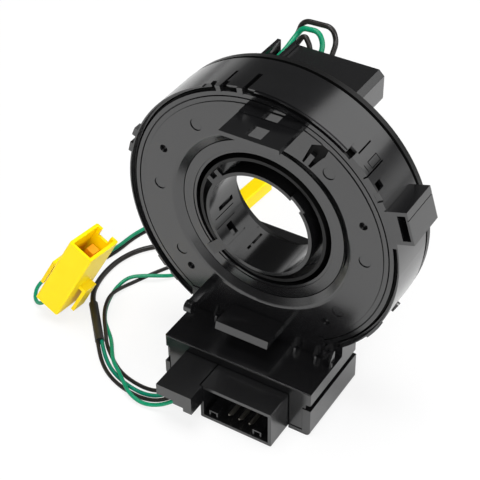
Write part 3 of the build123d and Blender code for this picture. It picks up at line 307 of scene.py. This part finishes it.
# Free leads, limp and lying on the table. Each follows its own route from where it leaves the side
# plug, the shrink tube or the thick lead. The heights are of a lead's centre: on the table, over
# another lead, the thick lead on the table, in the shrink tube, and in the rear plug.
LEAD_D = 0.0015
JACKET_D = 0.0022
SHRINK_D = 0.0035
CROSSING_GAP = 0.00025
REAR_HOLES_UP = 0.0032
TABLE = -0.069
ON = TABLE + LEAD_D / 2
OVER = ON + LEAD_D + CROSSING_GAP
THICK = TABLE + JACKET_D / 2
SLEEVE = TABLE + SHRINK_D / 2
REAR = TABLE + REAR_HOLES_UP


def free_lead(node, route, diameter, finish):
    """A lead as a smooth round curve along its route, in place of its plain solid."""
    line = bpy.data.curves.new(node + "_curve", "CURVE")
    line.dimensions = "3D"
    line.bevel_depth = diameter / 2
    line.bevel_resolution = 4
    line.resolution_u = 10
    line.use_fill_caps = True
    spline = line.splines.new("NURBS")
    spline.points.add(len(route) - 1)
    for point, place in zip(spline.points, route):
        point.co = (*place, 1)
    spline.order_u = 3
    spline.use_endpoint_u = True
    line.materials.append(finish)
    piece = bpy.data.objects.new(node + "_smooth", line)
    bpy.context.scene.collection.objects.link(piece)
    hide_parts(node)
    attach(piece, "stator")


# The thick lead, from the shrink tube to where it splits behind the ring.
free_lead("jacket_lead", [
    (-0.0732, -0.0026, SLEEVE), (-0.0753, -0.0003, SLEEVE), (-0.0788, 0.0056, THICK + 0.0002),
    (-0.0809, 0.0146, THICK), (-0.0808, 0.0245, THICK), (-0.0776, 0.0338, THICK),
    (-0.0712, 0.0412, THICK), (-0.0668, 0.0449, THICK), (-0.0640, 0.0470, THICK),
], JACKET_D, black_pvc)

# Two thin tails from the thick lead's hidden end to the left yellow plug.
free_lead("green_tail", [
    (-0.0645, 0.0477, ON), (-0.0623, 0.0495, ON), (-0.0612, 0.0536, ON + 0.0005),
    (-0.0640, 0.0584, ON + 0.0012), (-0.0694, 0.0598, OVER), (-0.0756, 0.0568, OVER),
    (-0.0810, 0.0496, OVER), (-0.0840, 0.0400, OVER), (-0.0848, 0.0295, OVER), (-0.0878, 0.0200, OVER),
    (-0.0946, 0.0125, ON + 0.0009), (-0.0992, 0.0045, ON), (-0.0996, -0.0040, ON), (-0.0964, -0.0100, ON),
    (-0.0926, -0.0132, -0.0676), (-0.0892, -0.0136, -0.0658), (-0.08798, -0.01308, -0.06381),
    (-0.0871, -0.01268, -0.06206),
], LEAD_D, green_pvc)

free_lead("black_tail", [
    (-0.0635, 0.0464, ON), (-0.0612, 0.0483, ON), (-0.0587, 0.0524, ON), (-0.0593, 0.0588, ON),
    (-0.0646, 0.0632, ON), (-0.0714, 0.0620, ON), (-0.0770, 0.0566, ON), (-0.0814, 0.0486, ON),
    (-0.0840, 0.0392, ON), (-0.0846, 0.0294, ON), (-0.0872, 0.0196, ON), (-0.0926, 0.0110, ON),
    (-0.0954, 0.0030, ON), (-0.0942, -0.0036, ON), (-0.0916, -0.0070, -0.0679), (-0.0893, -0.0078, -0.0666),
    (-0.08827, -0.00721, -0.06501), (-0.08739, -0.0068, -0.06326),
], LEAD_D, black_pvc)

# Two leads from the side plug into the shrink tube.
free_lead("black_lead_a", [
    (-0.0122, -0.0250, -0.0584), (-0.0122, -0.0277, -0.0584), (-0.0140, -0.0302, -0.0606),
    (-0.0176, -0.0320, -0.0640), (-0.0228, -0.0334, -0.0670), (-0.0290, -0.0340, ON), (-0.0356, -0.0336, ON),
    (-0.0422, -0.0320, ON), (-0.0480, -0.0292, ON), (-0.0530, -0.0254, ON + 0.0002),
    (-0.0569, -0.0215, SLEEVE), (-0.0592, -0.0190, SLEEVE),
], LEAD_D, black_pvc)

# This green lead has the darker copy of the green PVC: painted shade.
free_lead("green_lead_a", [
    (-0.0146, -0.0250, -0.0584), (-0.0146, -0.0273, -0.0584), (-0.0164, -0.0290, -0.0610),
    (-0.0194, -0.0302, -0.0642), (-0.0238, -0.0313, -0.0670), (-0.0292, -0.0319, ON), (-0.0352, -0.0315, ON),
    (-0.0414, -0.0300, ON), (-0.0470, -0.0274, ON), (-0.0518, -0.0240, ON + 0.0002),
    (-0.0556, -0.0205, SLEEVE), (-0.0580, -0.0179, SLEEVE),
], LEAD_D, green_pvc_painted_shade)

# Two leads from the side plug to the rear yellow plug. Near the side plug the green one crosses over
# the other three. Beside the shrink tube it lies under the black one, and further back it crosses
# over it.
free_lead("black_lead_b", [
    (-0.0170, -0.0250, -0.0588), (-0.0170, -0.0269, -0.0588), (-0.0188, -0.0280, -0.0614),
    (-0.0218, -0.0285, -0.0648), (-0.0256, -0.0289, -0.0674), (-0.0304, -0.0292, ON), (-0.0360, -0.0288, ON),
    (-0.0418, -0.0274, ON), (-0.0470, -0.0246, ON), (-0.0516, -0.0212, ON), (-0.0560, -0.0177, ON),
    (-0.0600, -0.0128, ON + 0.0014), (-0.0643, -0.0077, OVER), (-0.0679, -0.0022, OVER),
    (-0.0702, 0.0042, OVER), (-0.0698, 0.0104, ON + 0.0008), (-0.0678, 0.0170, ON),
    (-0.0648, 0.0242, ON), (-0.0612, 0.0314, ON),
    (-0.0578, 0.0374, ON), (-0.0560, 0.0436, ON), (-0.0554, 0.0510, ON), (-0.0572, 0.0582, ON + 0.0006),
    (-0.0592, 0.0634, ON + 0.0019), (-0.05921, 0.06712, REAR), (-0.0590, 0.07008, REAR),
], LEAD_D, black_pvc)

free_lead("green_lead_b", [
    (-0.0098, -0.0250, -0.0584), (-0.0098, -0.0278, -0.0584), (-0.0118, -0.0309, -0.0606),
    (-0.0156, -0.0334, -0.0636), (-0.0210, -0.0354, -0.0667), (-0.0270, -0.0366, ON + 0.0006),
    (-0.0330, -0.0356, OVER), (-0.0378, -0.0322, OVER + 0.0001), (-0.0424, -0.0286, OVER + 0.0001),
    (-0.0472, -0.0254, OVER), (-0.0509, -0.0212, ON + 0.0016), (-0.0538, -0.0173, ON + 0.0007),
    (-0.0571, -0.0136, ON), (-0.0608, -0.0105, ON), (-0.0646, -0.0072, ON), (-0.0681, -0.0018, ON),
    (-0.0705, 0.0044, ON),
    (-0.0719, 0.0110, ON + 0.0002), (-0.0704, 0.0172, ON + 0.0014), (-0.0652, 0.0207, OVER + 0.0001),
    (-0.0604, 0.0235, OVER), (-0.0564, 0.0276, ON + 0.0005), (-0.0540, 0.0328, ON), (-0.0529, 0.0396, ON),
    (-0.0530, 0.0490, ON), (-0.0548, 0.0576, ON + 0.0006), (-0.0563, 0.0632, ON + 0.0019),
    (-0.05601, 0.0669, REAR), (-0.0558, 0.06986, REAR),
], LEAD_D, green_pvc)

# Table: a wide sheet of white paper. The camera sees it nearly white, and the shiny parts see it a
# little brighter than it is lit. It keeps the object's shadow.
WIDE = 8.0
sweep = bpy.data.meshes.new("table_sweep")
corners = [(-WIDE, -WIDE, TABLE), (WIDE, -WIDE, TABLE), (WIDE, WIDE, TABLE), (-WIDE, WIDE, TABLE)]
sweep.from_pydata(corners, [], [(0, 1, 2, 3)])
table = bpy.data.objects.new("table", sweep)
bpy.context.scene.collection.objects.link(table)
white, tree = empty_finish("white_paper")
ray = put(tree, "ShaderNodeLightPath")
seen = put(tree, "ShaderNodeMath", {0: ray.outputs["Is Camera Ray"], 1: ray.outputs["Is Glossy Ray"]},
           operation="MAXIMUM")
seen = put(tree, "ShaderNodeMath", {0: seen.outputs["Value"], 1: ray.outputs["Is Transmission Ray"]},
           operation="MAXIMUM")
paper = put(tree, "ShaderNodeBsdfDiffuse", {"Color": linear("#f4f4f4")})
lift = put(tree, "ShaderNodeEmission", {"Color": (1, 1, 1, 1), "Strength": seen.outputs["Value"]})
share = put(tree, "ShaderNodeMapRange",
            {"Value": ray.outputs["Is Camera Ray"], "To Min": 0.15, "To Max": 0.8})
both = put(tree, "ShaderNodeMixShader",
           {0: share.outputs["Result"], 1: paper.outputs["BSDF"], 2: lift.outputs["Emission"]})
put(tree, "ShaderNodeOutputMaterial", {"Surface": both.outputs["Shader"]})
sweep.materials.append(white)

# Studio light: soft boxes overhead, beside the camera, behind at the right and low at the right, in
# a room that is pale at the horizon and dark above it.
room = bpy.data.worlds.new("room")
bpy.context.scene.world = room
room.use_nodes = True
tree = room.node_tree
tree.nodes.clear()
where = put(tree, "ShaderNodeTexCoord")
height = put(tree, "ShaderNodeSeparateXYZ", {"Vector": where.outputs["Generated"]})
level = put(tree, "ShaderNodeMapRange", {"Value": height.outputs["Z"], "From Min": 0.02, "From Max": 0.3,
                                         "To Min": 0.8, "To Max": 0.07}, interpolation_type="SMOOTHSTEP")
sky = put(tree, "ShaderNodeBackground", {"Color": (1, 1, 1, 1), "Strength": level.outputs["Result"]})
put(tree, "ShaderNodeOutputWorld", {"Surface": sky.outputs["Background"]})
for name, place, wide, tall, watts in (
    ("soft_box_above", (-0.05, 0.1, 1.3), 0.8, 0.8, 15.0),
    ("soft_box_front", (0.35, -1.0, 0.85), 0.6, 0.6, 9.0),
    ("soft_box_behind", (0.66, 0.97, 0.88), 1.1, 0.9, 4.2),
    ("soft_box_right", (1.2, -0.3, 0.22), 0.5, 0.4, 8.0),
):
    lamp = bpy.data.lights.new(name, "AREA")
    lamp.shape = "RECTANGLE"
    lamp.size = wide
    lamp.size_y = tall
    lamp.energy = watts
    box_light = bpy.data.objects.new(name, lamp)
    box_light.location = place
    box_light.rotation_euler = (-Vector(place)).to_track_quat("-Z", "Y").to_euler()
    bpy.context.scene.collection.objects.link(box_light)

# Camera, at the photograph's angle: above the part and to the right of its bore, less than half a
# metre away, with a long lens.
lens = bpy.data.cameras.new("camera")
lens.sensor_width = 36
lens.lens = 101.48
lens.clip_start = 0.01
viewer = bpy.data.objects.new("camera", lens)
viewer.location = (0.18350, -0.30499, 0.28307)
viewer.rotation_euler = tuple(math.radians(a) for a in (50.8676, 0.5818, 31.5567))
bpy.context.scene.collection.objects.link(viewer)
bpy.context.scene.camera = viewer
bpy.context.scene.view_settings.view_transform = "Standard"
